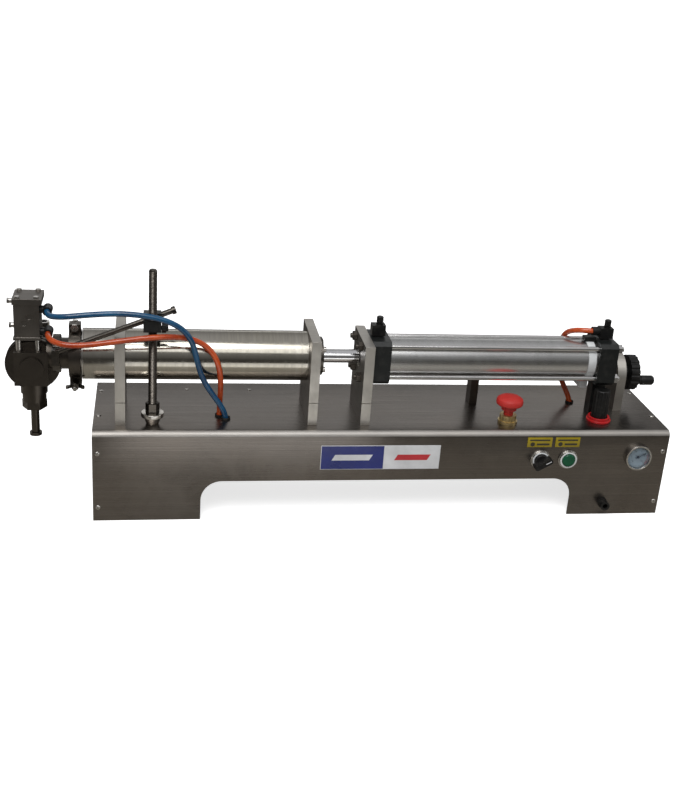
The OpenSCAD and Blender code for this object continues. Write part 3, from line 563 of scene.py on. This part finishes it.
hose("Hose_blue", BLUE, "blue_hose", "blue_hose")
hose("Hose_orange", ORANGE, "orange_hose", "orange_hose")
hose("Hose_rear", REAR, "rear_hose", "orange_hose")

# ---------------------------------------------------------------- parts whose shape the CAD already gives
def on_bend(p):
    """Faces of the two long bends of the base sheet."""
    return int(abs(p.normal[1]) < 0.995 and p.normal[2] > 0.05 and abs(p.normal[2]) < 0.995
               and abs(p.normal[0]) < 0.3)


def on_shaded_side(p):
    return int(abs(p.normal[0]) > 0.7)


def beyond_plate(p):
    return int(p.center[0] < P(-34, 0, 0)[0])


# Faces left of x 200 mm are the cast pedestal; the x-facing side faces all round take the same dark cast
# steel as painted shade.
def pedestal_and_shaded_sides(p):
    return int(abs(p.normal[0]) > 0.7 or p.center[0] < P(200, 0, 0)[0])


# The bend faces get the lighter bend steel, a painted highlight.
refine("base_shell", ("sheet_front", "sheet_bend"), 0.5, pick=on_bend)
# Their x-facing side faces take the darker side steel as painted shade.
for node in ("support_a", "support_b", "support_c"):
    refine(node, ("plate", "plate_side"), 0.7, pick=on_shaded_side)
refine("support_d", ("plate", "cast"), 0.7, pick=pedestal_and_shaded_sides)
refine("tie_rods", ("tie_rod", "cast"), 0.3, pick=beyond_plate)
for node, mat, slot, bevel in (
    ("end_panels", "sheet_end", "brushed_sheet", 0.3),
    ("rear_foot", "black", "black_metal", 0.6),
    ("liquid_tube", "tube", "polished_steel", 0.5),
    ("tube_outlet", "steel", "polished_steel", 0.5),
    ("clamp_jaws", "cast", "cast_steel", 0.9),
    ("clamp_pins", "bright", "bright_steel", 0.3),
    ("gasket", "white_rubber", "white_rubber", 0.3),
    ("piston", "white_plastic", "white_plastic", 0.4),
    ("piston_rod", "rod", "chrome_rod", 0.4),
    ("rod_gland", "dark_steel", "polished_steel", 0.5),
    ("air_barrel", "barrel", "anodised", 0.4),
    ("front_cap", "black", "black_metal", 0.9),
    ("rear_cap", "black", "black_metal", 0.9),
    ("air_piston", "alu", "dark_aluminium", 0.4),
    ("air_fittings", "black_plastic", "black_plastic", 0.5),
    ("switch_carriage", "white_plastic", "white_plastic", 0.6),
    ("reed_switch", "black_plastic", "black_plastic", 0.6),
    ("handwheel", "black_plastic", "black_plastic", 0.8),
    ("crank_knob", "black_plastic", "black_plastic", 0.8),
    ("estop_collar", "brass", "brass_ring", 0.4),
    ("switch_bezels", "bright", "bright_steel", 0.5),
    ("inner_blocks", "black_plastic", "black_plastic", 0.6),
    ("gauge_case", "bright", "bright_steel", 0.6),
    ("gauge_needle", "needle", "black_plastic", 0.0),
    ("gauge_glass", "glass", "clear_window", 0.3),
    ("regulator_ring", "red_dark", "red_plastic", 0.6),
    ("grommets", "rubber", "black_rubber", 0.6),
    ("cross_clamp", "black", "black_metal", 0.9),
    ("clamp_screw", "black", "black_metal", 0.5),
    ("arm", "dark_steel", "cast_steel", 0.5),
    ("head_actuator", "alu", "dark_aluminium", 0.9),
    ("head_trim", "bright", "bright_steel", 0.4),
    ("valve_body", "cast", "cast_steel", 0.8),
    ("outlet_body", "cast", "cast_steel", 0.7),
    ("nozzle", "cast", "bright_steel", 0.4),
    ("nozzle_valve", "cast", "bright_steel", 0.4),
    ("inlet_port", "steel", "bright_steel", 0.5),
    ("base_bolts", "bright", "bright_steel", 0.3),
):
    refine(node, mat, bevel)


# ---------------------------------------------------------------- pieces with more detail than the CAD solids
def screw_head(s, at, axis, sign, r=3.6):
    """A pan head. Its cross recess is not cut: a dark cross of print material, just proud of the dome, stands
    in as painted shade.
    """
    h = 1.6
    s.lathe([(0, h * sign), (r * 0.55, h * 0.94 * sign), (r * 0.86, h * 0.6 * sign), (r, 0.15 * sign),
            (r, 0)], at, axis, 32, 0.25)
    k = sign * h
    lo, hi = sorted((k * 0.2, k * 0.985))
    # Dark cross blocks put where the recess's shade would fall: painted shade.
    for wide, tall in ((r * 0.56, 0.4), (0.4, r * 0.56)):
        a = {"y": ((-wide, lo, -tall), (wide, hi, tall)), "z": ((-wide, -tall, lo), (wide, tall, hi)),
             "x": ((lo, -wide, -tall), (hi, wide, tall))}[axis]
        s.block([a[0][i] + at[i] for i in range(3)], [a[1][i] + at[i] for i in range(3)], 0, 1)


s = Shape()
for x in (-418, 418):
    for z in (21, 105):
        screw_head(s, (x, 0, z), "y", -1)
        screw_head(s, (x, 190, z), "y", 1)
    for y in (58, 150):
        screw_head(s, (x, y, 138), "z", 1)
for x in (-291, -196):
    screw_head(s, (x, 157, 138), "z", 1, 3.2)
s.make("Panel_screws", "frame", ["bright", "ink"], ("panel_screws",))

s = Shape()
s.lathe([(0, 138), (8.5, 138), (12.8, 149.2), (16, 149.6), (16, 155.8), (0, 155.8)], COLUMN, "z", 64, 0.8,
        mi=1)
s.hexnut(COLUMN, "z", 17, 155.8, 170, r=0.9)
s.thread(COLUMN, "z", 6.0, 5.3, 1.75, 168, 303, 24)
s.thread(COLUMN, "z", 5.8, 5.15, 1.75, 302, 361.8, 24)
s.lathe([(0, 165), (5.35, 165), (5.35, 360.5), (4.6, 363.6), (0, 364)], COLUMN, "z", 24, 0.2)
s.make("Threaded_column", "frame", ["dark_steel", "steel"], ("column",))

s = Shape()
s.thread(SCREW_AXIS, "x", 5.0, 4.1, 3.0, 157, 355, 20)
s.lathe([(0, 130), (4.4, 130), (4.9, 131), (4.9, 157), (4.2, 157.5), (4.2, 354), (4.95, 355), (4.95, 401),
        (4, 402), (0, 402)],
        SCREW_AXIS, "x", 32, 0.2)
s.lathe([(0, 151), (8, 151), (8, 156), (0, 156)], SCREW_AXIS, "x", 40, 0.5)
s.lathe([(0, 356), (9, 356), (9, 361), (0, 361)], SCREW_AXIS, "x", 40, 0.5)
s.make("Lead_screw_thread", "handwheel", ["bright"], ("lead_screw",))

s = Shape()
s.lathe([(3.1, 48.8), (5.0, 48.8), (5.4, 55), (6.5, 59.5), (6.5, 65.8), (3.1, 65.8)], (-449, 0, 185), "y",
        48, 0.6)
for sx in (-1, 1):
    wing = [(sx * x, y) for x,
            y in ((3.6, 2), (7, -0.5), (10, -3.6), (12.6, -4), (13, 0.5), (11, 3.4), (8, 4), (4.6, 9))]
    s.prism(wing[::sx], -1.8, 1.8, (-449, 50, 185), "z", 0.8, seg=3)
s.make("Wing_nut", "wing_nut", ["dark_steel"], ("wing_nut",))

# Emergency stop: mushroom head over a ribbed neck.
s = Shape()
s.lathe([(0, 128), (7, 128), (7, 158.5), (11.4, 158.7), (11.4, 166.2), (18.2, 166.5), (20, 168.4),
        (20.1, 172.6), (19, 176), (14.5, 178.9),
         (8, 180.4), (0, 180.9)], ESTOP, "z", 72, 0.9,
        mod=lambda a, r, h: r - 0.6 * max(0, math.cos(16 * a)) ** 2 if 158.8 < h < 166 else r)
s.make("Estop_mushroom", "estop_head", ["red"], ("estop_head",))

# Selector: round boss and a straight lever with a white line.
s = Shape()
s.lathe([(0, 6), (9.9, 6), (9.9, -8.2), (8.9, -9), (0, -9)], (SELECTOR_X, 0, SWITCH_Z), "y", 56, 0.5)
tilt = Matrix.Translation((SELECTOR_X, 0, SWITCH_Z)) @ Matrix.Rotation(math.radians(-30), 4,
    "Y") @ Matrix.Translation((-SELECTOR_X, 0, -SWITCH_Z))
lever = []
for cx, a0 in ((10.6, -90), (-10.6, 90)):
    lever += [(226 + cx + 3.9 * math.cos(math.radians(a0 + 18 * i)),
              93.5 + 3.9 * math.sin(math.radians(a0 + 18 * i))) for i in range(11)]
s.prism(lever, -21.8, -8.4, (0, 0, 0), "y", 1.1, 0, tilt, 3)
s.block((229, -22.0, 92.9), (238, -21.7, 94.1), 0.05, 1, tilt)
s.make("Selector_lever", "selector_knob", ["black_plastic", "white_paint"],
       ("selector_knob",))

# Start button: green face in a pale ring.
s = Shape()
s.lathe([(0, 6.5), (9.9, 6.5), (9.9, -5.9), (9.3, -6.5), (8.7, -6.5), (8.5, -7.2), (7.6, -7.5), (0, -7.05)],
        (START_X, 0, SWITCH_Z), "y", 64, 0.4)
s.make("Start_button_face", "start_button", ["green"], ("start_button",))
s = Shape()
for x in (SELECTOR_X, START_X):
    s.lathe([(10.15, -2), (10.15, -4.9), (11.4, -5.6), (12.9, -5.0), (13.4, -3.2), (13.5, -2)],
            (x, 0, SWITCH_Z), "y", 72, 0.5)
s.make("Switch_ring_lips", "frame", ["white_plastic"])

# Yellow switch labels with plain marks.
s = Shape()
for x in (222, 265):
    s.block((x - 19, -0.9, 113.5), (x + 19, 0, 129), 0.25, 0)
    s.block((x - 15.5, -1.0, 123.6), (x + 15.5, -0.85, 126.0), 0.0, 1)
    s.lathe([(0, -1.0), (3.4, -1.0), (3.4, -0.85), (0, -0.85)], (x - 11, 0, 118.2), "y", 28, 0, mi=1)
    s.block((x - 4.5, -1.0, 116.6), (x + 15, -0.85, 119.6), 0.0, 1)
s.make("Switch_labels", "frame", ["yellow", "ink"], ("label_plates",))

# Name panel: blue and white fields, a plain band on each, no lettering.
s = Shape()
s.block((-104, -0.9, 79), (72, 0, 117), 0.35, 0)
s.block((-103.2, -1.0, 79.8), (-11.8, -0.8, 116.2), 0.0, 1)
s.block((-11.0, -1.0, 79.8), (71.2, -0.8, 116.2), 0.0, 0)
for x0, x1, mi in ((-88, -28, 0), (4, 58, 2)):
    s.prism([(x0, 93.5), (x1 - 5, 93.5), (x1, 102.5), (x0 + 5, 102.5)], -1.0, -0.95, (0, -0.04, 0), "y", 0.0,
            mi)
s.make("Name_panel", "frame", ["white_paint", "blue_paint", "red_paint"], ("nameplate",))

# Gauge dial with a scale.
s = Shape()
s.lathe([(1.25, 0), (17.2, 0), (17.2, -1), (1.25, -1)], (GAUGE_X, 0, GAUGE_Z), "y", 72, 0.1)
for i in range(41):
    a = math.radians(225 - 270 * i / 40)
    r0 = 12.9 if i % 8 == 0 else 14.0 if i % 4 == 0 else 14.6
    w = 0.26 if i % 8 == 0 else 0.13
    turn = Matrix.Translation((GAUGE_X, 0, GAUGE_Z)) @ Matrix.Rotation(-a, 4, "Y")
    s.block((r0, -1.1, -w), (15.8, -0.95, w), 0, 1, turn)
for i in range(24):
    a0 = math.radians(225 - 270 * i / 24)
    a1 = math.radians(225 - 270 * (i + 1) / 24)
    pts = [(GAUGE_X + r * math.cos(a), GAUGE_Z + r * math.sin(a)) for r,
           a in ((15.9, a0), (16.4, a0), (16.4, a1), (15.9, a1))]
    s.prism(pts, -1.1, -0.95, (0, 0, 0), "y", 0, 1 if i < 19 else 2)
s.make("Gauge_scale", "frame", ["dial", "needle", "red_paint"], ("gauge_dial",))


NUMBER_R, NUMBER_SIZE = 10.2, 3.6


def dial_number(text, a):
    data = bpy.data.curves.new("dial_text", "FONT")
    data.body = text
    data.size = NUMBER_SIZE / 1000
    data.align_x, data.align_y = "CENTER", "CENTER"
    data.extrude = 0.00005
    o = bpy.data.objects.new("dial_text", data)
    SCENE.collection.objects.link(o)
    bpy.context.view_layer.update()
    me = bpy.data.meshes.new_from_object(o.evaluated_get(bpy.context.evaluated_depsgraph_get()))
    bpy.data.objects.remove(o)
    a = math.radians(a)
    me.transform(Matrix.Translation(P(GAUGE_X + NUMBER_R * math.cos(a), -1.06,
                 GAUGE_Z + NUMBER_R * math.sin(a))) @ Matrix.Rotation(math.radians(90), 4, "X"))
    me.materials.clear()
    return me


numbers = bmesh.new()
for i in range(6):
    numbers.from_mesh(dial_number(str(2 * i), 225 - 54 * i))
me = bpy.data.meshes.new("Gauge_numbers")
numbers.to_mesh(me)
numbers.free()
settle(me, "Gauge_numbers", "frame", ["needle"], (), 30)

# Fluted knobs.
s = Shape()
s.lathe([(0, 130), (5, 130), (5, 141.3), (12, 141.5), (12, 150), (12, 186.6), (10.6, 188.3), (0, 188.5)],
        REGULATOR, "z", 120, 0.9,
        mod=lambda a, r, h: r - 0.75 * (0.5 + 0.5 * math.cos(20 * a)) if 149 < h < 186.8 and r > 11 else r)
s.make("Regulator_knob_fluted", "regulator_knob", ["black_plastic"], ("regulator_knob",))
for name, x, body in (("Front_flow_knob_fluted", -18, "front_flow_knob"),
                      ("Rear_flow_knob_fluted", 330, "rear_flow_knob")):
    s = Shape()
    s.lathe([(0, 272), (2.95, 272), (2.95, 279), (4.9, 279.1), (5, 280.5), (5, 286.8), (4.2, 287.9),
            (0, 288)], (x, 75, 0), "z", 96, 0.4,
            mod=lambda a, r, h: r - 0.35 * (0.5 + 0.5 * math.cos(16 * a)) if 280 < h < 287 and r > 4.8 else r)
    s.make(name, body, ["black_plastic"], (body,))


# ---------------------------------------------------------------- stage and light
def floor():
    b = bmesh.new()
    rings = [0.0, 0.6, 1.2, 2.4, 5, 10, 20, 40]
    loops = [[b.verts.new((r * math.cos(2 * math.pi * k / 48), r * math.sin(2 * math.pi * k / 48), -0.0002))
             for k in range(48)] for r in rings[1:]]
    middle = b.verts.new((0, 0, -0.0002))
    for k in range(48):
        b.faces.new((middle, loops[0][k], loops[0][(k + 1) % 48]))
        for lo, hi in zip(loops, loops[1:]):
            b.faces.new((lo[k], hi[k], hi[(k + 1) % 48], lo[(k + 1) % 48]))
    me = bpy.data.meshes.new("Studio_floor")
    b.to_mesh(me)
    b.free()
    m = Mat("studio_floor")
    tone = m.noise(1.2, 4, 0.5)
    seen = m.t.nodes.new("ShaderNodeLightPath").outputs["Is Camera Ray"]
    # Painted light away from the camera: within 0.3 m of the floor's midline the floor is tan and glows
    # (emission 0.13), fading to near black beyond 0.62 m, so reflections show a lit floor close by and a dark
    # room further off; the camera sees it evenly pale.
    reflected_light_pool = m.span(m.math("ABSOLUTE", m.axis(1)), 0.3, 0.62, 0.5, 0.07, True)
    pale = m.mix(tone, (0.86, 0.86, 0.855), (0.9, 0.9, 0.898))
    m.set(color=m.mix(seen, m.mix(reflected_light_pool, (0, 0, 0), (0.62, 0.58, 0.5)), pale), rough=0.8, spec=0.1)
    m.b.inputs["Emission Color"].default_value = (1, 1, 1, 1)
    m.put(m.b.inputs["Emission Strength"],
          m.mix(seen, m.mix(reflected_light_pool, (0, 0, 0), (0.13, 0.13, 0.13)), (0.72, 0.72, 0.72)))
    m.bump(m.noise(160, 3), 0.02, 0.0005)
    me.materials.append(m.m)
    o = bpy.data.objects.new("Studio_floor", me)
    SCENE.collection.objects.link(o)


floor()


def softbox(name, at, to, size, power):
    data = bpy.data.lights.new(name, "AREA")
    data.shape = "RECTANGLE"
    data.size, data.size_y = size
    data.energy = power
    o = bpy.data.objects.new(name, data)
    o.location = at
    o.rotation_euler = (Vector(to) - Vector(at)).to_track_quat("-Z", "Y").to_euler()
    o.visible_camera = False
    SCENE.collection.objects.link(o)


def sunlight(name, turn, strength, angle):
    data = bpy.data.lights.new(name, "SUN")
    data.energy = strength
    data.angle = math.radians(angle)
    o = bpy.data.objects.new(name, data)
    o.rotation_euler = [math.radians(a) for a in turn]
    SCENE.collection.objects.link(o)


sunlight("Key", (28, -12, 0), 1.35, 36)
softbox("Front", (-0.45, -1.35, 1.6), (-0.1, 0, 0.2), (1.9, 0.9), 8)
softbox("Back", (-0.15, 0.66, 0.47), (-0.1, 0.05, 0.138), (1.9, 0.2), 0.7)
softbox("Side", (1.7, -0.5, 0.9), (0.2, 0, 0.15), (0.6, 0.9), 3)
softbox("Card", (-0.13, -0.34, 0.02), (-0.13, 0, 0.08), (0.42, 0.22), 0.3)

world = bpy.data.worlds.new("Studio")
SCENE.world = world
world.use_nodes = True
wt = world.node_tree
bg = wt.nodes["Background"]
tc = wt.nodes.new("ShaderNodeTexCoord")
sep = wt.nodes.new("ShaderNodeSeparateXYZ")
wt.links.new(tc.outputs["Generated"], sep.inputs[0])
ramp = wt.nodes.new("ShaderNodeValToRGB")
wt.links.new(sep.outputs[2], ramp.inputs[0])
stops = ramp.color_ramp.elements
stops[0].position, stops[0].color = 0.0, (0.1, 0.098, 0.095, 1)
stops[1].position, stops[1].color = 1.0, (0.5, 0.5, 0.51, 1)
for place, tone in ((0.35, 0.22), (0.7, 0.33)):
    stops.new(place).color = (tone, tone, tone, 1)
plain = wt.nodes.new("ShaderNodeMix")
plain.data_type = "RGBA"
wt.links.new(wt.nodes.new("ShaderNodeLightPath").outputs["Is Camera Ray"], plain.inputs[0])
wt.links.new(ramp.outputs[0], plain.inputs[6])
plain.inputs[7].default_value = (0.985, 0.985, 0.985, 1)
wt.links.new(plain.outputs[2], bg.inputs[0])
bg.inputs[1].default_value = 1.0
